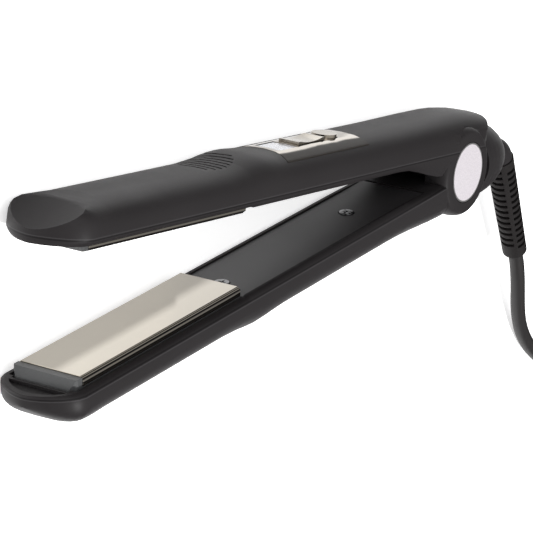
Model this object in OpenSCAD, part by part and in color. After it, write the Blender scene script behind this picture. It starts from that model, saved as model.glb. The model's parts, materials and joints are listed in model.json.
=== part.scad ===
// Flat iron (hair straightener), lying on its side with its jaws sprung open.
// Millimetres, +Z up. X runs along the iron, tips at -X and cord at +X. The hinge axis is the
// vertical line through x = 0, y = 0, and the floor is z = 0.

/* [Arms] */
// Half the width of an arm, and of the hinge drum across its faces
arm_half = 16; // [15.6:0.1:18]
// Length of the rounded nose in plan
nose_len = 12; // [8:1:14]
// Depth of the upper arm's plate end, from the closing plane to its back
upper_front = 15.4; // [14.8:0.1:18]
// Depth of the upper arm's handle
upper_handle = 16.5; // [15.8:0.1:19]
// Depth of the lower arm's plate end
lower_front = 17.2; // [15.5:0.1:19]
// Depth of the lower arm's handle
lower_handle = 17.9; // [16:0.1:20]
// Height of the swelling behind the plates
swell = 1.1; // [0:0.1:2]
// Length of the thumb slope behind a tip
thumb_len = 25; // [18:1:40]
// How far the upper arm's back falls at its tip
upper_fall = 2.8; // [0:0.2:7]
// How far the lower arm's back falls at its tip
lower_fall = 9.4; // [0:0.2:9.6]
// Thickness of the casing walls
wall = 2.4; // [2:0.1:2.8]
// Distance from the closing plane to the upper casing's rim, beside the plate
upper_rim_front = 2.7; // [1.6:0.1:3.2]
// Distance from the closing plane to the upper casing's rim, at the handle
upper_rim_rear = 2.3; // [1.2:0.1:2.6]
// Distance from the closing plane to the lower casing's rim, beside the plate
lower_rim_front = 3.6; // [1.6:0.1:3.8]
// Distance from the closing plane to the lower casing's rim, at the handle
lower_rim_rear = 3.2; // [1.2:0.1:3.4]
// Thickness of the inner covers
cover_t = 1.8; // [1.4:0.1:1.8]
// Angle between the arms when they are let go
open_angle = 9.5; // [4:0.5:12]

/* [Plates] */
// Length of a heating plate
plate_len = 90; // [80:1:92]
// Width of a plate's flat face
plate_w = 22.2; // [18:0.2:22.6]
// Distance from the hinge axis to the plates' rear end
plate_rear = 150; // [146:1:152]
// Distance from the plates' front end to the arms' tips
tip_margin = 15; // [12:1:30]
// Thickness of a plate
plate_t = 3.2; // [2.4:0.1:4]
// Gap left between a plate's face and the closing plane
plate_gap = 0.15; // [0.15:0.05:0.4]
// How far a plate can sink on its springs
float_travel = 0.8; // [0.4:0.1:1]
// Length of the carrier's end block in front of a plate
end_block = 4.5; // [3:0.5:5]

/* [Hinge] */
// Height of the closing plane above the hinge axis
plane_rise = 3.5; // [2:0.5:4]
// Radius of the hinge drum
drum_r = 17; // [16:0.5:18]
// Radius of the drum's flat side faces
drum_face_r = 14.4; // [13.4:0.1:15]
// Diameter of a round badge
badge_d = 22.4; // [18:0.2:24]
// Thickness of a badge
badge_t = 1.4; // [1:0.1:2]
// Half the width of the lower arm's hinge tongue
tongue_half = 7; // [6:0.5:8]
// Radius of the tongue's eye
eye_r = 9.5; // [9:0.5:10.5]
// Diameter of the hinge pin
pin_d = 5; // [4:0.5:5.5]

/* [Controls] */
// Length of the mirror panel
panel_len = 56; // [52:1:62]
// Distance from the hinge axis to the panel's rear end
panel_rear = 70; // [64:1:72]
// Half the width of the panel, which wraps over the handle
panel_half = 11.8; // [11:0.1:14.6]
// Thickness of the panel
panel_t = 1.2; // [0.8:0.1:1.4]
// Diameter of the power button
button_d = 9; // [7:0.5:10]
// Travel of the power button
button_travel = 0.6; // [0.3:0.1:0.7]
// Length of the temperature rocker
rocker_len = 17; // [13:0.5:18]
// Width of the temperature rocker
rocker_w = 8; // [6:0.5:9]
// Tilt of the temperature rocker each way
rocker_tilt = 3; // [1:0.5:3]

/* [Cord] */
// Distance from the casing's faces in to the rear collar
collar_in = 0.1; // [0.1:0.1:1]
// Distance from the hinge axis to the collar's rear end
collar_rear = 48; // [46:1:60]
// Diameter of the swivel's neck
neck_d = 10; // [8:0.5:11]
// Angle that the elbow turns through
elbow_turn = 54; // [45:1:75]
// Angle that the swivel stands turned towards the floor
swivel_lean = 5; // [0:1:8]
// Length of the ribbed strain relief
relief_len = 52; // [45:1:56]
// Diameter of the strain relief at its root
relief_d = 11; // [10:0.5:12]
// Diameter of the strain relief's end
relief_end_d = 9.8; // [8.6:0.2:10]
// Number of slots in each row of the strain relief
slot_count = 14; // [8:1:14]
// Diameter of the cord
cord_d = 6; // [5.6:0.2:6.2]
// Diameter of the coil through the middle of its turns
coil_d = 66; // [60:1:72]

/* [Hidden] */
$fn = 48;

// Colours
soft_black = "#323032";
shell_black = "#2a282a";
panel_metal = "#8f8574";
plate_metal = "#d7cfc4";
steel = "#b9bcc0";

// Clearances
clear = 0.3;      // between pieces that move against each other
run_fit = 0.05;   // radial, where a shaft turns in a hole
seat_fit = 0.05;  // round a piece that sits in a recess

// Section of an arm
belly = 5.4;      // distance from the closing plane to the arm's widest line
tuck = 2;         // how far the rim lies inside the widest line
roundness = 2.6;  // exponent of the back's superellipse
tip_roundness = 3.5;
nose_power = 1.6; // the nose's plan is fuller than an ellipse above 2 and more pointed below it
fall_power = 2.6;
back_steps = 14;
side_steps = 3;

// Stations along an arm
arm_reach = plate_rear + plate_len + tip_margin;
tip_x = -arm_reach;
nose_x = tip_x + nose_len;
thumb_x = tip_x + thumb_len;
plate_x = -plate_rear - plate_len;
swell_x = -plate_rear + 10;
hinge_zone = 50;
cavity_rear = -27;
casing_rear = 24;
rim_step_len = 2;
lower_end = 6;       // the lower casing's lip ends this far in front of the hinge axis
upper_hinge = 16.9;
lower_hinge = plane_rise + drum_r;

// Plate unit
step_w = 0.43;
step_h = 0.4;
step_n = 3;
plate_base = plate_w / 2 + step_n * step_w;
cavity_half = plate_base + 0.5;
plate_back = plate_gap + plate_t;
heater_inset = 9;     // from each end of the plate
heater_len = plate_len - 2 * heater_inset;
heater_w = 12;
heater_t = 2.2;
clip_t = 0.4;
carrier_t = 4.6;
carrier_half = plate_base - 0.2;
carrier_back = plate_back + carrier_t;
carrier_front = plate_x - end_block;
carrier_rear = -plate_rear + 0.4;
sensor_back = 5.4;    // from the carrier's rear end to the sensor's middle
sensor_x = carrier_rear - sensor_back;
cavity_front = carrier_front - 1.2;
crescent_r = 13.5;
crescent_len = 5.6;
crescent_deep = 1;
plate_mid = plate_x + plate_len / 2;
room_shoulder = carrier_back + float_travel + 0.35;
spring_inset = 13;    // from a plate's end to each float spring
spring_x = plate_len / 2 - spring_inset;
spring_d = 6;
spring_wire = 0.8;
spring_pocket = 1;

// Covers and screws
recess = 0.6;       // covers lie this far inside the rims
upper_cover = upper_rim_rear + recess;
lower_cover = lower_rim_rear + recess;
cover_half = cavity_half - 0.2;
cover_front = carrier_rear + clear;
cover_rear = cavity_rear - 1.5;
screw_xs = [-plate_rear + 7.5, -61];
screw_head_d = 5.2;
screw_head_t = 1.2;
head_seat = 0.9;     // depth of a cover's counterbore
screw_d = 2.5;
screw_len = 7;
boss_d = 7;
bore_d = 2.5;

// Hinge
drum_flat = 11;     // half the width over which the drum keeps its full radius
badge_gap = 0.3;
bush_wall = 1.5;
washer_t = 0.5;
pin_half = arm_half - badge_t - 0.8;
coil_pocket_r = 8;
coil_pocket_half = 3;
hinge_wire = 1.3;
hinge_coil_r = 3.6;

// Grip grooves
grip_x = -155;
grip_y = 2;
grip_half = 8.5;
groove_n = 8;
groove_pitch = 3.1;
groove_w = 0.9;
groove_deep = 0.6;
groove_lean = 8.5;

// Controls
panel_proud = 0.2;
panel_x = -panel_rear - panel_len;
panel_front_r = 26;
window_x = panel_x + 12.5;
window_len = 12;
window_half = 5;
button_x = -panel_rear - 12;
rocker_gap = 2;      // between the button and the rocker
rocker_x = button_x - button_d / 2 - rocker_gap - rocker_len / 2;
rocker_dish_r = 40;
board_x = panel_x + 1;
board_len = panel_len - 5;
board_half = 10;
board_t = 1.6;
board_z = 7.6;
button_flange_z = upper_handle - wall - clear - 0.8;

// Collar and swivel
collar_r = arm_half - collar_in;
collar_dome = 16;   // where the collar's dome begins
chamber_rear = collar_rear - 12;
chamber_front = 26;
neck_front = chamber_rear - 5;
clip_x = chamber_rear - 3.5;
clip_w = 2;
clip_d = neck_d + 5;
elbow_r = 10;
elbow_x = collar_rear + 1.5;
relief_ring = 4.5;
slot_w = 1.5;
slot_deep = 2;

// Plug
plug_x = 229;       // the plug's cord end, which faces -Y
plug_y = -30;
plug_z = 7;
plug_len = 34;
plug_w = 35.3;
plug_t = 13.7;
plug_tail = 9;
pin_gap = 19;
plug_pin_d = 4;
plug_pin_len = 19;

// Cord: the points of its two free stretches, on the floor but for the first few, and its coil
cord_r = cord_d / 2;
coil_x = 190;
coil_y = -75;
coil_columns = 3;
coil_layers = 4;
coil_out = coil_d / 2 + (coil_columns - 1) / 2 * cord_d;
relief_dir = [cos(elbow_turn), -sin(elbow_turn) * cos(swivel_lean), -sin(elbow_turn) * sin(swivel_lean)];
relief_root = [elbow_x + elbow_r * sin(elbow_turn), elbow_r * (cos(elbow_turn) - 1) * cos(swivel_lean),
    arm_half + elbow_r * (cos(elbow_turn) - 1) * sin(swivel_lean)];
relief_tip = relief_root + relief_len * relief_dir;
lead_points = concat([relief_tip, relief_tip + 7 * relief_dir], [
    [96.9, -58.8, 10.5], [102, -66, 8.9], [107.6, -73.2, 7], [113.8, -80.2, 5.2], [120.6, -86.8, 3.8],
    [128, -92.8, cord_r], [136.5, -98.6, cord_r], [146, -103.6, cord_r], [156.5, -107.8, cord_r],
    [168, -110.9, cord_r], [179.5, -112.9, cord_r], [coil_x, coil_y - coil_out, cord_r]
]);
coil_top = coil_layers * cord_d - cord_r;
tail_points = [
    [coil_x + coil_out, coil_y, coil_top], [229, -67.5, 20.1], [229, -60, 17.6], [229, -52.5, 14],
    [229, -45, 10.4], [229, -37.5, 7.9], [plug_x, plug_y, plug_z]
];
cord_sides = 10;

// ---------- Frames ----------

// From the closed iron, upright with its hinge axis along Y, to the floor
module on_side() translate([0, 0, arm_half]) rotate([-90, 0, 0]) children();

// An arm's own frame: z is the distance from the closing plane towards the arm's back
module upper_arm() on_side() translate([0, 0, plane_rise]) children();
module lower_arm() on_side() rotate([0, -open_angle, 0]) translate([0, 0, plane_rise])
    mirror([0, 0, 1]) children();

// A shaft or hole across the iron, centred on y = 0
module across(r, half) rotate([90, 0, 0]) cylinder(r = r, h = 2 * half, center = true);

// A bar along X with a given section
module along(x0, x1) translate([x0, 0, 0]) rotate([90, 0, 90]) linear_extrude(x1 - x0) children();

// A side profile (x, z) made as wide as the iron needs
module profile(half) rotate([90, 0, 0]) linear_extrude(2 * half, center = true) children();

// ---------- Shape of the arms ----------

function ease(t) = t <= 0 ? 0 : t >= 1 ? 1 : t * t * (3 - 2 * t);
function hump(t) = exp(-t * t);

function arm_depth(x, front, handle, hinge, fall, power) =
    front + (handle - front) * ease((x + plate_rear + 9) / 24)
    + swell * hump((x - swell_x) / 10)
    + (hinge - handle) * ease((x + hinge_zone) / 42)
    - fall * pow(max(0, (thumb_x - x) / thumb_len), power)
    - 3.6 * pow(max(0, x) / 30, 2);

function upper_depth(x) = arm_depth(x, upper_front, upper_handle, upper_hinge, upper_fall, 5);
function lower_depth(x) = arm_depth(x, lower_front, lower_handle, lower_hinge, lower_fall, fall_power);

// The rims step towards the closing plane behind the plates, and leave it near the hinge, where the
// upper arm reaches down to the drum
function rim_step(x) = ease((x + plate_rear) / rim_step_len);
function hinge_step(x) = ease((x + 48) / 34);
function upper_rim(x) = upper_rim_front + (upper_rim_rear - upper_rim_front) * rim_step(x)
    - (upper_rim_rear + plane_rise) * hinge_step(x);
function lower_rim(x) = lower_rim_front + (lower_rim_rear - lower_rim_front) * rim_step(x)
    + (plane_rise + 0.6 - lower_rim_rear) * hinge_step(x);

// Half of an arm's width, round at the nose
function nose_half(x) = x >= nose_x ? arm_half
    : arm_half * pow(max(0, 1 - pow((nose_x - x) / nose_len, nose_power)), 1 / nose_power);
function back_power(x) = roundness + (tip_roundness - roundness) * ease((thumb_x - x) / 20);

// Section of an arm, from one rim over the back to the other
function section(half, depth, rim, power = roundness) =
    let (wide = rim + (max(belly, rim + 1.6) - rim) * min(1, half / arm_half),
         in = tuck * min(1, half / arm_half))
    concat(
        [for (i = [0 : side_steps - 1])
            let (t = i / side_steps)
            [-half + in * pow(1 - t, 2), rim + (wide - rim) * t]],
        [for (i = [0 : back_steps])
            let (a = 180 - 180 * i / back_steps, c = cos(a), s = sin(a))
            [half * sign(c) * pow(abs(c), 2 / power), wide + (depth - wide) * pow(s, 2 / power)]],
        [for (i = [side_steps - 1 : -1 : 0])
            let (t = i / side_steps)
            [half - in * pow(1 - t, 2), rim + (wide - rim) * t]]
    );

// Stations at which the sections change
nose_xs = [for (i = [0 : 7]) nose_x - nose_len * cos(6 + 12 * i)];
thumb_xs = [for (i = [1 : 4]) nose_x + (thumb_x - nose_x) * i / 4];
swell_xs = [for (i = [-1 : 5]) swell_x + 5 * i];
handle_xs = [-hinge_zone - 40, -hinge_zone];
hinge_xs = [for (i = [1 : 10]) -hinge_zone + i * (hinge_zone + casing_rear) / 10];
plate_end_xs = [for (i = [0 : 3]) -plate_rear + rim_step_len * i / 3];
arm_xs = concat(nose_xs, thumb_xs, [-plate_rear - 20, -plate_rear - 10], plate_end_xs, swell_xs, handle_xs, hinge_xs);

module loft(rings) {
    n = len(rings[0]);
    last = len(rings) - 1;
    polyhedron(
        points = [for (ring = rings) each ring],
        faces = concat(
            [[for (j = [0 : n - 1]) j]],
            [[for (j = [n - 1 : -1 : 0]) last * n + j]],
            [for (i = [0 : last - 1], j = [0 : n - 1])
                let (k = (j + 1) % n) [i * n + j, (i + 1) * n + j, (i + 1) * n + k]],
            [for (i = [0 : last - 1], j = [0 : n - 1])
                let (k = (j + 1) % n) [i * n + j, (i + 1) * n + k, i * n + k]]
        ),
        convexity = 4
    );
}

function rings(xs, upper) = [for (x = xs)
    let (depth = upper ? upper_depth(x) : lower_depth(x),
         rim = upper ? upper_rim(x) : lower_rim(x))
    [for (p = section(nose_half(x), depth, rim, back_power(x))) [x, -p[0], p[1]]]];

module arm_solid(upper) loft(rings(arm_xs, upper));

// The flat for a thumb, cut across the upper arm's rounded tip
module thumb_flat() translate([thumb_x, 0, upper_front - 0.05]) rotate([0, -atan(upper_fall / thumb_len), 0])
    translate([-60, -30, 0]) cube([70, 60, 30]);

// The room inside a casing, under its inner cover and plates
module room(x0, x1, depth, half = cavity_half) along(x0, x1) polygon([
    [-half, -6], [half, -6], [half, room_shoulder],
    [half - 4.6, depth - wall], [4.6 - half, depth - wall], [-half, room_shoulder]
]);

module rooms(front, handle) {
    room(cavity_front, cavity_front + 2, front - 2.2, cavity_half - 2);
    room(cavity_front + 1.4, thumb_x - 4, front - 2.2);
    room(thumb_x - 5, -plate_rear + 2, front);
    room(-plate_rear + 1, cavity_rear, handle);
}

// The crescent that is sunk into the inside of the tip
module tip_crescent(rim) translate([cavity_front - 1.2, 0, -4]) intersection() {
    translate([crescent_r - crescent_len, 0, 0]) cylinder(r = crescent_r, h = rim + 4 + crescent_deep);
    translate([-20, -arm_half, 0]) cube([20, 2 * arm_half, 20]);
}

module screw_bosses(depth, cover) for (x = screw_xs) translate([x, 0, cover + cover_t])
    cylinder(d = boss_d, h = depth - wall - cover - cover_t + 0.6);

module screw_holes(cover) for (x = screw_xs) translate([x, 0, cover + cover_t - 1])
    cylinder(d = bore_d, h = screw_len + 1);

// ---------- Hinge ----------

module drum(grow = 0) rotate([90, 0, 0]) rotate_extrude($fn = 96) polygon(concat(
    [[0, -arm_half - grow], [drum_face_r + grow, -arm_half - grow]],
    [for (i = [1 : 6]) let (a = 15 * i)
        [drum_face_r + grow + (drum_r - drum_face_r) * sin(a),
         -drum_flat - grow - (arm_half - drum_flat) * cos(a)]],
    [for (i = [6 : -1 : 1]) let (a = 15 * i)
        [drum_face_r + grow + (drum_r - drum_face_r) * sin(a),
         drum_flat + grow + (arm_half - drum_flat) * cos(a)]],
    [[drum_face_r + grow, arm_half + grow], [0, arm_half + grow]]
));

module tongue_slot() {
    across(eye_r + clear, tongue_half + clear);
    translate([-40, -tongue_half - clear, -30]) cube([40, 2 * (tongue_half + clear), 30]);
}

module badge_seats() for (side = [-1, 1])
    translate([0, side * (arm_half - badge_t / 2 + 0.5), 0])
        across(badge_d / 2 + badge_gap, badge_t / 2 + 0.5);

// ---------- Upper arm ----------

// The handle's back over the panel, at a depth below its surface
module handle_skin(sink) upper_arm() along(panel_x - 1, -panel_rear + 1)
    polygon(section(arm_half - sink, upper_handle - sink, upper_rim_rear));

module panel_outline(grow = 0) on_side() translate([0, 0, plane_rise + belly + 0.5])
    linear_extrude(40) difference() {
        translate([panel_x - grow, -panel_half - grow])
            square([panel_len + 2 * grow, 2 * (panel_half + grow)]);
        translate([panel_x - panel_front_r + 4 - grow, 0]) circle(r = panel_front_r, $fn = 96);
    }

module control_openings(grow) on_side() translate([0, 0, plane_rise]) {
    translate([button_x, 0, 0]) cylinder(d = button_d + 2 * grow, h = 40);
    translate([rocker_x - rocker_len / 2 - grow, -rocker_w / 2 - grow, 0])
        cube([rocker_len + 2 * grow, rocker_w + 2 * grow, 40]);
    translate([window_x - window_len / 2 - seat_fit, -window_half - seat_fit, 0])
        cube([window_len + 2 * seat_fit, 2 * (window_half + seat_fit), 40]);
}

// Grooves across the upper arm's back, for the grip
module grip_grooves() upper_arm() difference() {
    translate([grip_x, grip_y, 15]) rotate(groove_lean) for (i = [0 : groove_n - 1])
        let (t = (i - (groove_n - 1) / 2) / (groove_n / 2 + 0.4))
        translate([t * groove_n * groove_pitch / 2, 0, 0])
            cube([groove_w, 2 * grip_half * sqrt(1 - t * t), 30], center = true);
    translate([0, 0, -groove_deep]) arm_solid(true);
}

module upper_casing() color(soft_black) {
    difference() {
        union() {
            upper_arm() difference() {
                intersection() {
                    arm_solid(true);
                    translate([0, 0, -30]) union() {
                        translate([-300, -50, 0]) cube([308, 100, 80]);
                        translate([casing_rear - arm_half, 0, 0]) cylinder(r = arm_half, h = 80, $fn = 96);
                    }
                }
                rooms(upper_front, upper_handle);
                tip_crescent(upper_rim_front);
                thumb_flat();
            }
            on_side() drum();
            upper_arm() screw_bosses(upper_handle, upper_cover);
            upper_arm() board_posts(board_z + board_t, 4.4, upper_handle - wall - board_z - board_t + 0.6);
        }
        on_side() {
            tongue_slot();
            across(pin_d / 2, pin_half);
            badge_seats();
        }
        upper_arm() screw_holes(upper_cover);
        grip_grooves();
        difference() {
            intersection() {
                panel_outline(seat_fit);
                handle_skin(-2);
            }
            handle_skin(panel_t);
        }
        control_openings(clear);
    }
}

// An inner cover whose face is at z = 0
module inner_cover() difference() {
    translate([cover_front, -cover_half, 0]) cube([cover_rear - cover_front, 2 * cover_half, cover_t]);
    for (x = screw_xs) translate([x, 0, -1]) {
        cylinder(d = screw_head_d + 0.8, h = 1 + head_seat);
        cylinder(d = screw_d + 0.4, h = 5);
    }
}

module cover_screws() for (x = screw_xs) translate([x, 0, 0]) difference() {
    union() {
        translate([0, 0, head_seat - screw_head_t]) cylinder(d = screw_head_d, h = screw_head_t);
        cylinder(d = screw_d, h = screw_len + cover_t - 1);
    }
    for (turn = [0, 90]) rotate(turn) translate([-1.5, -0.35, -1]) cube([3, 0.7, 1 + head_seat - screw_head_t + 0.7]);
}

module upper_inner_cover() color(shell_black) upper_arm() translate([0, 0, upper_cover]) inner_cover();
module upper_cover_screws() color(steel) upper_arm() translate([0, 0, upper_cover]) cover_screws();

module control_panel() color(panel_metal) difference() {
    intersection() {
        panel_outline();
        handle_skin(-panel_proud);
    }
    handle_skin(panel_t);
    control_openings(clear);
}

module display_window() color("#aab4b4") intersection() {
    on_side() translate([window_x - window_len / 2, -window_half, plane_rise])
        cube([window_len, 2 * window_half, 40]);
    difference() {
        handle_skin(0);
        handle_skin(panel_t + 0.6);
    }
}

module power_button() color(panel_metal) upper_arm() translate([button_x, 0, 0]) {
    translate([0, 0, button_flange_z + 0.5]) cylinder(d = button_d, h = upper_handle + 1.2 - button_flange_z - 0.5);
    translate([0, 0, button_flange_z]) cylinder(d = button_d + 2, h = 0.8);
    translate([0, 0, board_z + board_t + 2.8]) cylinder(d = 3, h = upper_handle - board_z - board_t - 4);
}

module power_button_spring() color(steel) upper_arm()
    translate([button_x, 0, board_z + board_t]) spring(2.6, 0.5, button_flange_z - board_z - board_t, 4);

module temperature_rocker() color(panel_metal) upper_arm() translate([rocker_x, 0, 0]) difference() {
    union() {
        translate([-rocker_len / 2, -rocker_w / 2, upper_handle - wall + 0.4])
            cube([rocker_len, rocker_w, wall + 0.7]);
        translate([0, 0, upper_handle - wall]) across(1, rocker_w / 2 - 1);
    }
    translate([0, 0, upper_handle + 0.4 + rocker_dish_r]) across(rocker_dish_r, rocker_w);
}

module rocker_spring() color(steel) upper_arm()
    translate([rocker_x, 0, board_z + board_t]) spring(2.6, 0.5, upper_handle - wall - 1 - board_z - board_t, 4);

module board_posts(z, d, h) for (x = [board_x + 3, board_x + board_len - 3], side = [-1, 1])
    translate([x, side * (board_half - 3), z]) cylinder(d = d, h = h);

module control_board() color("#2f6b3c") upper_arm() difference() {
    translate([board_x, -board_half, board_z]) cube([board_len, 2 * board_half, board_t]);
    board_posts(board_z - 1, 2.2, 4);
}

module board_parts() color("#202224") upper_arm() {
    translate([window_x - 6, -4.6, board_z + board_t])
        cube([12, 9.2, upper_handle - panel_t - 0.9 - board_z - board_t]);
    translate([button_x, 0, board_z + board_t]) cylinder(d = 3.4, h = 1.9);
    translate([board_x + 20, -board_half + 1, board_z - 2.8]) cube([13, 8, 2.8]);
    translate([board_x + 42, 2, board_z - 2.4]) cube([9, 6, 2.4]);
    translate([board_x + 8, 2, board_z - 2.4]) cube([7, 6, 2.4]);
}

module rear_collar() color(soft_black) on_side() difference() {
    rotate([0, 90, 0]) rotate_extrude($fn = 96) polygon(concat(
        [[0, 2], [collar_r, 2]],
        [for (i = [0 : 9]) let (t = sin(7.5 * i))
            [collar_r * sqrt(1 - t * t), collar_dome + (collar_rear - collar_dome) * t]],
        [[neck_d / 2 + run_fit, collar_rear - 2], [neck_d / 2 + run_fit, chamber_rear],
         [clip_d / 2 + 0.75, chamber_rear], [clip_d / 2 + 0.75, chamber_front], [0, chamber_front]]
    ));
    across(drum_r + seat_fit, 2 * arm_half);
    translate([casing_rear - arm_half, 0, -seat_fit]) cylinder(r = arm_half + seat_fit, h = 2 * arm_half);
}

// ---------- Hinge pieces ----------

module hinge_badges() color("#f2f0f4") on_side() for (side = [-1, 1])
    translate([0, side * (arm_half - badge_t / 2), 0]) across(badge_d / 2, badge_t / 2);

module hinge_pin() color(steel) on_side() across(pin_d / 2, pin_half);

module hinge_washers() color(steel) on_side() for (side = [-1, 1])
    translate([0, side * (tongue_half + clear / 2), 0]) difference() {
        across(eye_r - 2, 0.1);
        across(pin_d / 2 + run_fit, 1);
    }

module hinge_bush() color("#c9a45c") on_side() for (side = [-1, 1])
    translate([0, side * (tongue_half + coil_pocket_half) / 2, 0]) difference() {
        across(pin_d / 2 + bush_wall, (tongue_half - coil_pocket_half) / 2);
        across(pin_d / 2 + run_fit, tongue_half);
    }

// A coil of round wire, standing on z = 0
module spring(r, wire, height, turns, sides = 6, per_turn = 12) {
    n = turns * per_turn;
    loft([for (i = [0 : n])
        let (a = 360 * i / per_turn, z = wire / 2 + (height - wire) * i / n)
        [for (j = [0 : sides - 1]) let (b = -360 * j / sides, q = r + wire / 2 * cos(b))
            [q * cos(a), q * sin(a), z + wire / 2 * sin(b)]]]);
}

module hinge_spring() color(steel) on_side() rotate([90, 0, 0])
    translate([0, 0, -coil_pocket_half + 0.2]) spring(hinge_coil_r, hinge_wire, 2 * coil_pocket_half - 0.4, 3);

// ---------- Plate units ----------

module plate_bar() along(plate_x, plate_x + plate_len) polygon(concat(
    [for (i = [0 : step_n]) each [
        [-plate_w / 2 - i * step_w, plate_gap + i * step_h],
        [-plate_w / 2 - min(i + 1, step_n) * step_w, plate_gap + i * step_h]]],
    [[-plate_base, plate_back], [plate_base, plate_back]],
    [for (i = [step_n : -1 : 0]) each [
        [plate_w / 2 + min(i + 1, step_n) * step_w, plate_gap + i * step_h],
        [plate_w / 2 + i * step_w, plate_gap + i * step_h]]]
));

module heater_bar() translate([plate_mid - heater_len / 2, -heater_w / 2, plate_back])
    cube([heater_len, heater_w, heater_t]);

module heater_clip_strip() translate([plate_mid - heater_len / 2 + 4, -heater_w / 4, plate_back + heater_t])
    cube([heater_len - 8, heater_w / 2, clip_t]);

module sensor_bead() translate([sensor_x, 0, plate_back + 1.2]) {
    rotate([0, 90, 0]) cylinder(d = 2.4, h = 4);
}

module carrier_block() difference() {
    intersection() {
        profile(carrier_half) polygon([
            [carrier_front, carrier_back], [carrier_front, plate_back + 0.4], [carrier_front + 1.6, plate_gap + 0.4],
            [plate_x - seat_fit, plate_gap + 0.4], [plate_x - seat_fit, plate_back], [carrier_rear, plate_back],
            [carrier_rear, carrier_back]
        ]);
        translate([0, 0, -1]) linear_extrude(30) polygon([
            [carrier_front, -carrier_half + 2], [carrier_front + 2, -carrier_half], [carrier_rear, -carrier_half],
            [carrier_rear, carrier_half], [carrier_front + 2, carrier_half], [carrier_front, carrier_half - 2]
        ]);
    }
    translate([plate_mid - heater_len / 2 - seat_fit, -heater_w / 2 - seat_fit, plate_back - 1])
        cube([heater_len + 2 * seat_fit, heater_w + 2 * seat_fit, 1 + heater_t + clip_t]);
    slot_front = plate_mid + heater_len / 2 - 1;
    translate([slot_front, -1.3, plate_back - 1]) cube([sensor_x + 4.2 - slot_front, 2.6, 3.5]);
    for (side = [-1, 1]) translate([plate_mid + side * spring_x, 0, carrier_back - spring_pocket])
        cylinder(d = spring_d + 1.6, h = spring_pocket + 1);
}

module float_springs(front) for (side = [-1, 1])
    translate([plate_mid + side * spring_x, 0, carrier_back - spring_pocket])
        spring((spring_d - spring_wire) / 2, spring_wire, front - wall - carrier_back + spring_pocket, 4, 5, 10);

module upper_plate() color(plate_metal) upper_arm() plate_bar();
module upper_heater() color("#e8e4da") upper_arm() heater_bar();
module upper_heater_clip() color(steel) upper_arm() heater_clip_strip();
module upper_sensor() color("#d8b070") upper_arm() sensor_bead();
module upper_carrier() color("#4a4c4e") upper_arm() carrier_block();
module upper_float_springs() color(steel) upper_arm() float_springs(upper_front);

module lower_plate() color(plate_metal) lower_arm() plate_bar();
module lower_heater() color("#e8e4da") lower_arm() heater_bar();
module lower_heater_clip() color(steel) lower_arm() heater_clip_strip();
module lower_sensor() color("#d8b070") lower_arm() sensor_bead();
module lower_carrier() color("#4a4c4e") lower_arm() carrier_block();
module lower_float_springs() color(steel) lower_arm() float_springs(lower_front);

// ---------- Lower arm ----------

module lower_casing() color(soft_black) difference() {
    union() {
        lower_arm() difference() {
            intersection() {
                arm_solid(false);
                translate([-300, -50, -10]) cube([300 - lower_end, 100, 60]);
            }
            rooms(lower_front, lower_handle);
            tip_crescent(lower_rim_front);
            translate([0, 0, plane_rise]) drum(clear);
        }
        lower_arm() screw_bosses(lower_handle, lower_cover);
        on_side() rotate([0, -open_angle, 0]) {
            across(eye_r, tongue_half);
            translate([cavity_rear + 3, -tongue_half, -eye_r])
                cube([-cavity_rear - 3, 2 * tongue_half, eye_r - 0.5]);
        }
    }
    on_side() {
        across(pin_d / 2 + bush_wall, 20);
        across(coil_pocket_r, coil_pocket_half);
    }
    lower_arm() screw_holes(lower_cover);
}

module lower_inner_cover() color(shell_black) lower_arm() translate([0, 0, lower_cover]) inner_cover();
module lower_cover_screws() color(steel) lower_arm() translate([0, 0, lower_cover]) cover_screws();

// ---------- Swivel, strain relief and cord ----------

module swivel() on_side() rotate([swivel_lean, 0, 0]) children();

module swivel_elbow() color(soft_black) swivel() {
    difference() {
        translate([neck_front, 0, 0]) rotate([0, 90, 0]) union() {
            cylinder(d = neck_d, h = elbow_x - neck_front - 0.2);
            translate([0, 0, elbow_x - neck_front - 0.9]) cylinder(d = neck_d + 1, h = 1.8);
        }
        translate([clip_x, 0, 0]) rotate([0, 90, 0]) difference() {
            cylinder(d = neck_d + 1, h = clip_w);
            translate([0, 0, -1]) cylinder(d = neck_d - 2, h = clip_w + 2);
        }
    }
    translate([elbow_x, 0, -elbow_r]) rotate([90, 0, 0]) rotate([0, 0, 90 - elbow_turn])
        rotate_extrude(angle = elbow_turn, $fn = 96) translate([elbow_r, 0]) circle(d = neck_d);
}

module swivel_clip() color(steel) swivel() translate([clip_x, 0, 0]) rotate([0, 90, 0]) difference() {
    cylinder(d = clip_d, h = clip_w);
    translate([0, 0, -1]) cylinder(d = neck_d - 2, h = clip_w + 2);
}

// From the elbow's end, along the relief
module at_relief() swivel()
    translate([elbow_x + elbow_r * sin(elbow_turn), 0, -elbow_r + elbow_r * cos(elbow_turn)])
        rotate([0, 90 + elbow_turn, 0]) children();

module strain_relief() color(soft_black) at_relief() difference() {
    cylinder(d1 = relief_d, d2 = relief_end_d, h = relief_len);
    pitch = (relief_len - relief_ring - 3) / slot_count;
    for (i = [0 : slot_count - 1], side = [0 : 3])
        rotate(90 * side) translate([relief_d / 2 - slot_deep, -3, 2.5 + pitch * (i + 0.5 * (side % 2))])
            cube([4, 6, slot_w]);
}

function unit(v) = v / norm(v);
function tangent(p, i) = unit(p[min(i + 1, len(p) - 1)] - p[max(i - 1, 0)]);
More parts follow.
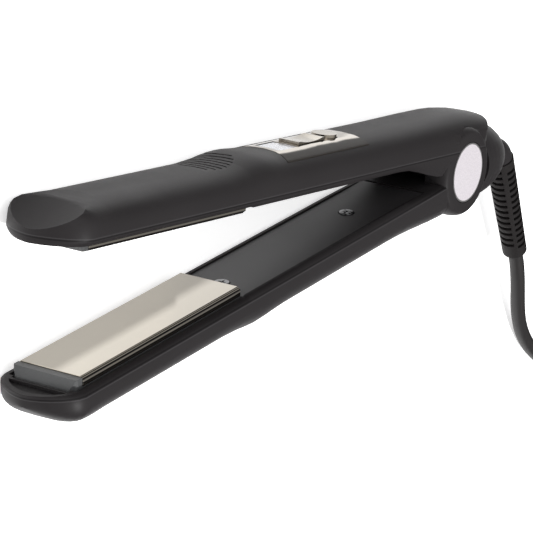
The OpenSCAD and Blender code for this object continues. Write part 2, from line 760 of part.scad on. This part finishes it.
// Points between the route's points, so that the tube bends evenly
function between(p, k) = [for (i = [0 : len(p) - 2], s = [0 : k - 1])
    let (t = s / k, a = p[max(i - 1, 0)], b = p[i], c = p[i + 1], d = p[min(i + 2, len(p) - 1)])
    0.5 * (2 * b + t * (c - a) + t * t * (2 * a - 5 * b + 4 * c - d) + t * t * t * (3 * b - a - 3 * c + d))];
function smooth(p, k) = concat(between(p, k), [p[len(p) - 1]]);

module tube(p, r) loft([for (i = [0 : len(p) - 1])
    let (t = tangent(p, i), u = unit(cross(t, [0, 0, 1])), v = cross(u, t))
    [for (j = [0 : cord_sides - 1]) let (a = -360 * j / cord_sides) p[i] + r * (cos(a) * u + sin(a) * v)]]);

module cord_lead() color("#262427") tube(lead_points, cord_r);
module cord_tail() color("#262427") tube(tail_points, cord_r);

module cord_coil() color("#262427") translate([coil_x, coil_y, 0]) rotate_extrude($fn = 96)
    translate([coil_d / 2 - coil_columns * cord_r, 0]) square([coil_columns * cord_d, coil_layers * cord_d]);

module cord_tie() color("#1e1d1f") translate([coil_x + coil_d / 2, coil_y, 0]) {
    w = coil_columns * cord_d;
    h = coil_layers * cord_d;
    difference() {
        translate([-w / 2 - 1.3, -3, 0]) cube([w + 2.6, 6, h + 1]);
        translate([-w / 2 - 0.3, -4, -1]) cube([w + 0.6, 8, h + 1 + seat_fit]);
    }
}

module plug_body() color("#262427") translate([plug_x, plug_y, plug_z]) rotate([-90, 0, 0]) {
    cylinder(d1 = cord_d + 2, d2 = cord_d + 5, h = plug_tail);
    hull() for (side = [-1, 1]) {
        translate([side * (plug_w / 2 - 12), 0, plug_tail - 1]) cylinder(d = 9, h = 1, $fn = 32);
        translate([side * (plug_w - plug_t) / 2, 0, plug_len - 6]) cylinder(d = plug_t, h = 6, $fn = 32);
    }
}

module plug_pins() color("#c8c9cc") translate([plug_x, plug_y + plug_len, plug_z]) for (side = [-1, 1])
    translate([side * pin_gap / 2, 0, 0]) rotate([-90, 0, 0]) {
        cylinder(d = plug_pin_d, h = plug_pin_len - 1);
        translate([0, 0, plug_pin_len - 1]) cylinder(d1 = plug_pin_d, d2 = plug_pin_d - 1.4, h = 1);
    }

upper_casing();
upper_inner_cover();
upper_cover_screws();
control_panel();
display_window();
power_button();
power_button_spring();
temperature_rocker();
rocker_spring();
control_board();
board_parts();
hinge_badges();
hinge_pin();
hinge_washers();
hinge_bush();
hinge_spring();
rear_collar();
upper_plate();
upper_heater();
upper_heater_clip();
upper_sensor();
upper_carrier();
upper_float_springs();
lower_casing();
lower_inner_cover();
lower_cover_screws();
lower_plate();
lower_heater();
lower_heater_clip();
lower_sensor();
lower_carrier();
lower_float_springs();
swivel_elbow();
swivel_clip();
strain_relief();
cord_lead();
cord_coil();
cord_tail();
cord_tie();
plug_body();
plug_pins();
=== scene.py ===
"""A flat iron lying on its side with its jaws sprung open, its cord tied in a coil beside it."""

import json
import math

import bmesh
import bpy
from mathutils import Matrix, Vector


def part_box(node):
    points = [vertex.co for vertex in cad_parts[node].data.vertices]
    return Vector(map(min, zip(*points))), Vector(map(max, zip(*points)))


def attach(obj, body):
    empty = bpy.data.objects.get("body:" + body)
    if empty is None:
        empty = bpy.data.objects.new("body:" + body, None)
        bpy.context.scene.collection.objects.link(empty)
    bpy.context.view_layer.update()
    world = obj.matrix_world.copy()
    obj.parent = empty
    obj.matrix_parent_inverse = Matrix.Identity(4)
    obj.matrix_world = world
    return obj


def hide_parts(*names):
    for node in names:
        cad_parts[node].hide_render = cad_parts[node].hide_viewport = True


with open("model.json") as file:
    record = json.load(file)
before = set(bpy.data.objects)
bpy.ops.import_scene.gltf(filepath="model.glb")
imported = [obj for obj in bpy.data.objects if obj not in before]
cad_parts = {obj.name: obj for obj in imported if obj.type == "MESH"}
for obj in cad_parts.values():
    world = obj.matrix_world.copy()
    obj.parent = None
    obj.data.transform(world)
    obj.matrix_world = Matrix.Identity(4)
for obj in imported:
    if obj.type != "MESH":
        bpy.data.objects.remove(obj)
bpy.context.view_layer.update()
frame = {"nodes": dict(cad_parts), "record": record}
NODES = frame["nodes"]

MM = 0.001

# ---------- Camera ----------

camera = bpy.data.objects.new("camera", bpy.data.cameras.new("camera"))
bpy.context.scene.collection.objects.link(camera)
bpy.context.scene.camera = camera
camera.data.sensor_width = 36
camera.data.lens = 207
camera.data.clip_end = 20
# The camera looks over the iron's near side, rolled so that the upper arm is on top of the picture
EYE = Vector((-0.9939, 0.2159, 0.5347))
LOOK = Vector((0.8395, -0.2269, -0.4938)).normalized()
ACROSS = Vector((0.5240, 0.0971, 0.8462))
RIGHT = (ACROSS - LOOK * LOOK.dot(ACROSS)).normalized()
UP = RIGHT.cross(LOOK)
camera.matrix_world = Matrix.Translation(EYE) @ Matrix((RIGHT, UP, -LOOK)).transposed().to_4x4()

# ---------- Frames of the two arms ----------

DRUM_HALF = 0.016      # the hinge axis stands on the floor, and the drum's faces are this far from its middle
PLANE_RISE = 0.0035    # from the hinge axis to the closing plane
OPEN_ANGLE = math.radians(9.5)

on_side = Matrix.Translation((0, 0, DRUM_HALF)) @ Matrix.Rotation(-math.pi / 2, 4, "X")
upper_arm = on_side @ Matrix.Translation((0, 0, PLANE_RISE))
lower_arm = (on_side @ Matrix.Rotation(-OPEN_ANGLE, 4, "Y") @ Matrix.Translation((0, 0, PLANE_RISE))
             @ Matrix.Diagonal((1, 1, -1, 1)))

# ---------- Cord ----------

CORD_D = 0.006
CORD_R = CORD_D / 2
COIL = Vector((0.190, -0.075, 0))
COIL_MEAN_R = 0.033
COIL_COLUMNS, COIL_LAYERS = 3, 4
COIL_OUT = COIL_MEAN_R + (COIL_COLUMNS - 1) / 2 * CORD_D

ELBOW_TURN, LEAN = math.radians(54), math.radians(5)
ELBOW = Vector((0.0495, 0, DRUM_HALF))
ELBOW_R, RELIEF_LEN = 0.010, 0.052
RELIEF_DIR = Vector((math.cos(ELBOW_TURN), -math.sin(ELBOW_TURN) * math.cos(LEAN),
                     -math.sin(ELBOW_TURN) * math.sin(LEAN)))
drop = ELBOW_R * (math.cos(ELBOW_TURN) - 1)
RELIEF_ROOT = ELBOW + Vector((ELBOW_R * math.sin(ELBOW_TURN), drop * math.cos(LEAN), drop * math.sin(LEAN)))
RELIEF_TIP = RELIEF_ROOT + RELIEF_DIR * RELIEF_LEN

# The same points as the CAD cord has, in millimetres
LEAD = [(96.9, -58.8, 10.5), (102, -66, 8.9), (107.6, -73.2, 7), (113.8, -80.2, 5.2), (120.6, -86.8, 3.8),
        (128, -92.8, 3), (136.5, -98.6, 3), (146, -103.6, 3), (156.5, -107.8, 3), (168, -110.9, 3),
        (179.5, -112.9, 3)]
TAIL = [(229, -67.5, 20.1), (229, -60, 17.6), (229, -52.5, 14), (229, -45, 10.4), (229, -37.5, 7.9), (229, -30, 7)]


def coil_points(steps=72):
    """The coil's turns: each layer is wound inwards, then the next one outwards, and so on up."""
    slots = []
    for layer in range(COIL_LAYERS):
        columns = [COIL_OUT - k * CORD_D for k in range(COIL_COLUMNS)]
        slots += [(r, CORD_R + layer * CORD_D) for r in (columns if layer % 2 == 0 else columns[::-1])]
    points = []
    start, shift_from, shift_to = -math.pi / 2, 290 / 360, 340 / 360
    for k, (r, z) in enumerate(slots):
        last = k == len(slots) - 1
        nr, nz = slots[min(k + 1, len(slots) - 1)]
        for i in range(steps // 4 + 1 if last else steps):
            t = i / steps
            s = min(1, max(0, (t - shift_from) / (shift_to - shift_from)))
            s = 0 if last else s * s * (3 - 2 * s)
            a = start + 2 * math.pi * t
            radius = r + (nr - r) * s
            points.append(COIL + Vector((radius * math.cos(a), radius * math.sin(a), z + (nz - z) * s)))
    return points


def rounded(points, steps=4):
    """Points between the given ones on a smooth curve through them."""
    out = []
    for i in range(len(points) - 1):
        a, b, c, d = (points[max(i - 1, 0)], points[i], points[i + 1], points[min(i + 2, len(points) - 1)])
        for k in range(steps):
            t = k / steps
            out.append(0.5 * (2 * b + t * (c - a) + t * t * (2 * a - 5 * b + 4 * c - d)
                              + t ** 3 * (3 * b - a - 3 * c + d)))
    return out + [points[-1]]


coil = coil_points()
lead = rounded([RELIEF_TIP, RELIEF_TIP + RELIEF_DIR * 0.007] + [Vector(p) * MM for p in LEAD] + [coil[0]])
tail = rounded([coil[-1]] + [Vector(p) * MM for p in TAIL])
route = lead[:-1] + coil[:-1] + tail
cord_length = sum((b - a).length for a, b in zip(route, route[1:]))

cord_curve = bpy.data.curves.new("cord", "CURVE")
cord_curve.dimensions = "3D"
cord_curve.bevel_depth = 1
cord_curve.bevel_resolution = 6
spline = cord_curve.splines.new("POLY")
spline.points.add(len(route) - 1)
for point, place in zip(spline.points, route):
    point.co, point.radius = (*place, 1), CORD_R
spline.use_smooth = True
cord = bpy.data.objects.new("cord", cord_curve)
bpy.context.scene.collection.objects.link(cord)
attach(cord, "cord_swivel")
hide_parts("cord_lead", "cord_coil", "cord_tail")


# ---------- Shader expressions ----------

class Wire:
    """A shader socket that can be used in Python expressions."""

    def __init__(self, tree, value):
        self.tree, self.value = tree, value

    def _math(self, operation, *inputs):
        return self.tree.node("ShaderNodeMath", {"operation": operation}, dict(enumerate(inputs)))

    def __add__(self, other): return self._math("ADD", self, other)
    def __radd__(self, other): return self._math("ADD", other, self)
    def __sub__(self, other): return self._math("SUBTRACT", self, other)
    def __rsub__(self, other): return self._math("SUBTRACT", other, self)
    def __mul__(self, other): return self._math("MULTIPLY", self, other)
    def __rmul__(self, other): return self._math("MULTIPLY", other, self)
    def __pow__(self, other): return self._math("POWER", self, other)


class NodeTree:
    """The means to add nodes to a tree."""

    def __init__(self, tree):
        self.nodes, self.links = tree.nodes, tree.links

    def node(self, kind, settings, inputs, output=0):
        made = self.nodes.new(kind)
        for key, value in settings.items():
            setattr(made, key, value)
        for key, value in inputs.items():
            self.plug(made.inputs[key], value)
        return Wire(self, made.outputs[output])

    def plug(self, socket, value):
        if isinstance(value, Wire):
            self.links.new(value.value, socket)
        elif isinstance(value, (tuple, list)) and len(value) == 3 and socket.type == "RGBA":
            socket.default_value = (*value, 1)
        else:
            socket.default_value = value

    def parts(self, vector):
        made = self.nodes.new("ShaderNodeSeparateXYZ")
        self.plug(made.inputs[0], vector)
        return [Wire(self, made.outputs[k]) for k in range(3)]

    def ramp(self, factor, low, high):
        """0 below low, 1 above high, and a smooth rise between them."""
        return self.node("ShaderNodeMapRange", {"interpolation_type": "SMOOTHSTEP"},
                         {"Value": factor, "From Min": low, "From Max": high})


class Finish(NodeTree):
    """A material on a plain surface shader."""

    def __init__(self, name):
        self.material = bpy.data.materials.new(name)
        self.material.use_nodes = True
        super().__init__(self.material.node_tree)
        self.shader = self.nodes["Principled BSDF"]

    def surface(self, **inputs):
        for key, value in inputs.items():
            self.plug(self.shader.inputs[key.replace("_", " ")], value)
        return self

    def object_place(self):
        return self.node("ShaderNodeTexCoord", {}, {}, "Object")

    def noise(self, scale, detail=3, roughness=0.5, vector=None):
        return self.node("ShaderNodeTexNoise", {}, {
            "Vector": vector or self.object_place(), "Scale": scale, "Detail": detail, "Roughness": roughness}, "Fac")

    def mix(self, factor, a, b):
        made = self.nodes.new("ShaderNodeMix")
        made.data_type = "RGBA"
        for socket, value in ((made.inputs["Factor"], factor), (made.inputs[6], a), (made.inputs[7], b)):
            self.plug(socket, value)
        return Wire(self, made.outputs[2])

    def depth(self, arm):
        """Distance from the plane that the two arms close on."""
        x, y, z = self.parts(self.object_place())
        a, b, c, d = arm.inverted()[2]
        return x * a + y * b + z * c + d

    def line(self, depth, start, width, soft=0.0001):
        """1 on a thin line along the piece that begins at depth start, and 0 beside it."""
        return self.ramp(depth, start - soft, start) - self.ramp(depth, start + width, start + width + soft)

    def bump(self, height, strength, distance):
        return self.node("ShaderNodeBump", {}, {"Height": height, "Strength": strength, "Distance": distance},
                         "Normal")


def soft_touch(name, dark, light, rough, grain=2600, level=0.08, arm=None):
    """Matte moulded plastic: a fine grain, faint patches where hands have polished it, and the mould's parting line
    near the closing plane of arm, where arm is given, with a painted highlight as a pale line just beside it."""
    f = Finish(name)
    fine, broad, wear = f.noise(grain, 2), f.noise(28, 4), f.noise(9, 5, 0.6)
    colour = f.mix(broad, dark, light)
    if arm:
        depth = f.depth(arm)
        colour = f.mix(f.line(depth, 0.0046, 0.0003) * 0.7, colour, (0.004, 0.0036, 0.0038))
        # A pale line just beyond the parting line: a painted highlight along its edge
        colour = f.mix(f.line(depth, 0.0052, 0.0002) * 0.5, colour, (0.05, 0.048, 0.05))
    f.surface(Base_Color=colour,
              Roughness=rough + (broad - 0.5) * 0.12 + (fine - 0.5) * 0.08 - f.ramp(wear, 0.52, 0.7) * 0.08,
              Normal=f.bump(fine, 0.3, 0.00006), Specular_IOR_Level=level)
    return f.material


def polished(name, base, tint, rough, smear=0.06, lines=None):
    """Polished or coated metal with faint smears, and polishing lines along x where lines is given."""
    f = Finish(name)
    place = f.object_place()
    broad = f.noise(60, 4)
    roughness = rough + (broad - 0.5) * smear
    f.surface(Base_Color=f.mix(broad, base, tint), Metallic=1.0)
    if lines:
        x, y, z = f.parts(place)
        across = f.node("ShaderNodeCombineXYZ", {}, {"X": x * 0.02, "Y": y, "Z": z})
        streak = f.noise(lines, 2, vector=across)
        roughness = roughness + (streak - 0.5) * 0.05
        f.surface(Normal=f.bump(streak, 0.12, 0.00001))
    f.surface(Roughness=roughness)
    return f.material


def plate_coating(name, arm):
    """Coated plate, polished lengthwise, with two dark seams along its sides where its layers meet."""
    f = Finish(name)
    x, y, z = f.parts(f.object_place())
    depth = f.depth(arm)
    seams = f.line(depth, 0.0009, 0.0004) + f.line(depth, 0.0020, 0.0004)
    along = f.node("ShaderNodeCombineXYZ", {}, {"X": x * 0.02, "Y": y, "Z": z})
    streak, broad = f.noise(1600, 2, vector=along), f.noise(60, 4)
    metal = f.mix(broad, (0.31, 0.283, 0.241), (0.33, 0.303, 0.258))
    f.surface(Base_Color=f.mix(seams, metal, (0.03, 0.027, 0.024)), Metallic=1.0,
              Roughness=0.05 + (broad - 0.5) * 0.02 + (streak - 0.5) * 0.05, Normal=f.bump(streak, 0.12, 0.00001))
    return f.material


def panel_chrome():
    """Bronze chrome with a painted dark reflection where the panel rolls over to its long edges: there its colour is
    painted dark, and it is rougher and less metallic.
    """
    f = Finish("panel_metal")
    x, y, z = f.parts(f.object_place())
    across = ((z - 0.016) * (z - 0.016)) ** 0.5
    broad = f.noise(60, 4)
    # Painted dark reflection of the dim horizon along the panel's long edges, darkening its colour there
    painted_reflection_band = f.ramp(across + (broad - 0.5) * 0.003, 0.0064, 0.0078)
    metal = f.mix(broad, (0.22, 0.195, 0.162), (0.26, 0.231, 0.195))
    f.surface(Base_Color=f.mix(painted_reflection_band, metal, (0.02, 0.017, 0.015)), Metallic=1.0 - painted_reflection_band,
              Roughness=0.07 + (broad - 0.5) * 0.03 + painted_reflection_band * 0.4, Specular_IOR_Level=0.06)
    return f.material


def pearl(rim_radius):
    """Pearl lacquer full of small flakes, with a thin satin silver rim round the badge."""
    f = Finish("pearl_white")
    x, y, z = f.parts(f.object_place())
    radius = (x * x + y * y) ** 0.5
    rim = f.ramp(radius, rim_radius - 0.0007, rim_radius - 0.0005)
    flakes, broad = f.noise(5200, 1), f.noise(60, 3)
    lacquer = f.mix(f.ramp(flakes, 0.35, 0.7), f.mix(broad, (0.43, 0.395, 0.42), (0.48, 0.455, 0.48)),
                    (0.58, 0.545, 0.57))
    f.surface(Base_Color=f.mix(rim, lacquer, (0.30, 0.29, 0.29)), Metallic=rim * 0.9,
              Roughness=0.2 + (flakes - 0.5) * 0.1 + rim * 0.1, Coat_Weight=0.6, Coat_Roughness=0.05,
              Normal=f.bump(flakes, 0.1, 0.00003))
    return f.material


def display():
    """A liquid crystal display behind clear glass: pale blue grey, a little darker and lighter in patches."""
    f = Finish("display_glass")
    x, y, z = f.parts(f.object_place())
    cells, broad = f.noise(2500, 1), f.noise(90, 3)
    f.surface(Base_Color=f.mix(f.ramp(broad, 0.3, 0.7), (0.22, 0.23, 0.27), (0.34, 0.35, 0.40)),
              Roughness=0.28 + (cells - 0.5) * 0.08, Coat_Weight=1.0, Coat_Roughness=0.03)
    return f.material


def grained(name, dark, light, rough, scale, bump=0.3):
    """A plain matt surface with a fine grain in its colour and height."""
    f = Finish(name)
    fine = f.noise(scale, 4)
    f.surface(Base_Color=f.mix(fine, dark, light), Roughness=rough + (fine - 0.5) * 0.1,
              Normal=f.bump(fine, bump, 0.0001))
    return f.material


CASING_BLACK = ((0.016, 0.0144, 0.015), (0.0208, 0.019, 0.0197))

# By material slot, or by the piece's own name where it needs a finish in its arm's frame
FINISHES = {
    "soft_black": soft_touch("soft_black", *CASING_BLACK, 0.5),
    "upper_casing": soft_touch("upper_casing_black", *CASING_BLACK, 0.5, arm=upper_arm),
    "lower_casing": soft_touch("lower_casing_black", *CASING_BLACK, 0.5, arm=lower_arm),
    "inner_black": soft_touch("inner_black", (0.022, 0.0205, 0.0215), (0.028, 0.0262, 0.0275), 0.42, 3500, 0.25),
    "panel_metal": panel_chrome(),
    "display_glass": display(),
    "button_metal": polished("button_metal", (0.27, 0.24, 0.20), (0.31, 0.28, 0.235), 0.16, 0.05, lines=900),
    "steel": polished("steel", (0.16, 0.16, 0.165), (0.22, 0.22, 0.225), 0.25, lines=1500),
    "board_green": grained("board_green", (0.02, 0.12, 0.05), (0.04, 0.18, 0.08), 0.4, 600),
    "chip_black": grained("chip_black", (0.02, 0.02, 0.022), (0.035, 0.035, 0.037), 0.5, 2500),
    "pearl_white": pearl((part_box("hinge_badges")[1][0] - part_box("hinge_badges")[0][0]) / 2),
    "brass_bush": polished("brass_bush", (0.62, 0.42, 0.18), (0.7, 0.5, 0.25), 0.25, lines=1200),
    "upper_plate": plate_coating("upper_plate_coating", upper_arm),
    "lower_plate": plate_coating("lower_plate_coating", lower_arm),
    "heater_ceramic": grained("heater_ceramic", (0.75, 0.72, 0.66), (0.85, 0.83, 0.78), 0.7, 1200),
    "sensor_brass": polished("sensor_brass", (0.6, 0.42, 0.2), (0.7, 0.5, 0.25), 0.3),
    "carrier_grey": grained("carrier_grey", (0.035, 0.036, 0.037), (0.05, 0.051, 0.052), 0.5, 1800),
    "relief_rubber": soft_touch("relief_rubber", (0.010, 0.0088, 0.0088), (0.014, 0.0125, 0.0125), 0.55, 3000),
    "cord_rubber": soft_touch("cord_rubber", (0.012, 0.0108, 0.0108), (0.016, 0.0145, 0.0145), 0.5, 3200, 0.2),
    "tie_black": grained("tie_black", (0.012, 0.012, 0.013), (0.03, 0.03, 0.032), 0.8, 2600, 0.8),
    "plug_black": soft_touch("plug_black", (0.014, 0.013, 0.0135), (0.019, 0.018, 0.0185), 0.5, 2600, 0.2),
    "pin_nickel": polished("pin_nickel", (0.68, 0.67, 0.65), (0.74, 0.73, 0.71), 0.18, lines=1500),
}

cord.data.materials.append(FINISHES["cord_rubber"])

# How far moulded and pressed edges are eased, in metres
EASED = {
    "control_panel": 0.0003, "power_button": 0.0004, "temperature_rocker": 0.0004, "display_window": 0.0002,
    "upper_plate": 0.0003, "lower_plate": 0.0003, "upper_carrier": 0.0003, "lower_carrier": 0.0003,
    "hinge_badges": 0.0002, "upper_cover_screws": 0.00015, "lower_cover_screws": 0.00015, "swivel_elbow": 0.0002,
    "strain_relief": 0.00025, "plug_pins": 0.0003,
}

WELD = 0.000002        # corners closer than this are one, in metres
SLOTS = {entry["node"]: entry["material_slot"] for entry in frame["record"]["subparts"]}
for name, node in NODES.items():
    node.data.materials.clear()
    node.data.materials.append(FINISHES.get(name) or FINISHES[SLOTS[name]])
    for polygon in node.data.polygons:
        polygon.use_smooth = True
    weld = node.modifiers.new("weld", "WELD")
    weld.merge_threshold = WELD
    if name in EASED:
        eased = node.modifiers.new("eased edges", "BEVEL")
        eased.width, eased.segments, eased.limit_method = EASED[name], 2, "ANGLE"
        eased.angle_limit = math.radians(40)
    split = node.modifiers.new("split", "EDGE_SPLIT")
    split.split_angle = math.radians(32)
    if name in EASED:
        node.modifiers.new("even shading", "WEIGHTED_NORMAL").keep_sharp = True

# ---------- Upper casing with its thumb rest ----------

# Where the thumb rest begins on the upper arm's back, how steeply it falls, and how it is dished across
REST_X, REST_BACK = -0.239, 0.0144
REST_SLOPE, REST_DISH = 0.46, 0.105
CUT_FRONT, CUT_LENGTH, CUT_HALF, CUT_TOP = -0.262, 0.036, 0.019, 0.030
CUT_STEPS, CUT_COLUMNS = 36, 20


def rest_depth(x, across):
    """How far the thumb rest lies from the closing plane: it falls to the tip and is dished across."""
    return REST_BACK + REST_SLOPE * (x - REST_X) + across * across / REST_DISH


def thumb_cutter():
    """A block over the tip of the upper arm, with the thumb rest as its underside."""
    xs = [CUT_FRONT + CUT_LENGTH * i / CUT_STEPS for i in range(CUT_STEPS + 1)]
    ws = [-CUT_HALF + 2 * CUT_HALF * j / CUT_COLUMNS for j in range(CUT_COLUMNS + 1)]
    rows = len(ws)
    under = [upper_arm @ Vector((x, w, rest_depth(x, w))) for x in xs for w in ws]
    over = [upper_arm @ Vector((x, w, CUT_TOP)) for x in xs for w in ws]
    quads = [(i * rows + j, (i + 1) * rows + j, (i + 1) * rows + j + 1, i * rows + j + 1)
             for i in range(len(xs) - 1) for j in range(rows - 1)]
    n = len(under)
    rim = ([i * rows for i in range(len(xs))] + [(len(xs) - 1) * rows + j for j in range(1, rows)]
           + [i * rows + rows - 1 for i in range(len(xs) - 2, -1, -1)] + [j for j in range(rows - 2, 0, -1)])
    walls = [(a, b, b + n, a + n) for a, b in zip(rim, rim[1:] + rim[:1])]
    mesh = bpy.data.meshes.new("thumb cutter")
    mesh.from_pydata(under + over, [], quads + [tuple(k + n for k in quad[::-1]) for quad in quads] + walls)
    work = bmesh.new()
    work.from_mesh(mesh)
    bmesh.ops.recalc_face_normals(work, faces=work.faces)
    work.to_mesh(mesh)
    work.free()
    return bpy.data.objects.new("thumb cutter", mesh)


def dished_casing():
    """The upper casing with the thumb rest cut into its tip."""
    mesh = NODES["upper_casing"].data.copy()
    mesh.name = "upper_casing_shell"
    work = bmesh.new()
    work.from_mesh(mesh)
    bmesh.ops.remove_doubles(work, verts=work.verts, dist=WELD)
    work.to_mesh(mesh)
    work.free()
    shell, cutter = bpy.data.objects.new("upper_casing_shell", mesh), thumb_cutter()
    for piece in (shell, cutter):
        bpy.context.scene.collection.objects.link(piece)
    cut = shell.modifiers.new("cut", "BOOLEAN")
    cut.object, cut.operation, cut.solver = cutter, "DIFFERENCE", "EXACT"
    bpy.context.view_layer.update()
    done = bpy.data.meshes.new_from_object(shell.evaluated_get(bpy.context.evaluated_depsgraph_get()))
    shell.modifiers.clear()
    shell.data = done
    bpy.data.objects.remove(cutter)
    return shell


casing = dished_casing()
casing.data.materials.clear()
casing.data.materials.append(FINISHES["upper_casing"])
for polygon in casing.data.polygons:
    polygon.use_smooth = True
casing.modifiers.new("split", "EDGE_SPLIT").split_angle = math.radians(30)
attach(casing, "upper_arm")
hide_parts("upper_casing")

# ---------- Floor and light ----------

floor_mesh = bpy.data.meshes.new("floor")
floor_mesh.from_pydata([(-4, -4, 0), (4, -4, 0), (4, 4, 0), (-4, 4, 0)], [], [(0, 1, 2, 3)])
floor = bpy.data.objects.new("floor", floor_mesh)
bpy.context.scene.collection.objects.link(floor)
floor.location.z = -0.0002
paper = Finish("paper")
paper.surface(Base_Color=(0.9, 0.9, 0.9), Roughness=0.9, Emission_Color=(1, 1, 1), Emission_Strength=0.6)
floor_mesh.materials.append(paper.material)

world = bpy.data.worlds.new("studio")
bpy.context.scene.world = world
world.use_nodes = True
room = NodeTree(world.node_tree)
# Bright overhead and dim near the horizon, as under a large overhead diffuser
height = room.parts(room.node("ShaderNodeTexCoord", {}, {}, "Generated"))[2]
sky = room.ramp(height, 0.22, 0.92)
room.plug(room.nodes["Background"].inputs["Color"], (1, 1, 1))
room.plug(room.nodes["Background"].inputs["Strength"], sky * 0.95 + 0.05)


def softbox(name, place, aim, size, power):
    lamp = bpy.data.objects.new(name, bpy.data.lights.new(name, "AREA"))
    bpy.context.scene.collection.objects.link(lamp)
    lamp.data.shape = "RECTANGLE"
    lamp.data.size, lamp.data.size_y = size
    lamp.data.energy = power
    lamp.location = place
    lamp.rotation_mode = "QUATERNION"
    lamp.rotation_quaternion = (Vector(aim) - Vector(place)).to_track_quat("-Z", "Y")
    return lamp


softbox("key", (-0.25, -0.75, 1.45), (-0.12, 0, 0), (0.15, 0.15), 28)
softbox("fill", (-0.9, 0.9, 1.2), (-0.1, 0, 0), (1.2, 1.2), 9)
bpy.context.scene.view_settings.view_transform = "Standard"

bpy.context.view_layer.update()
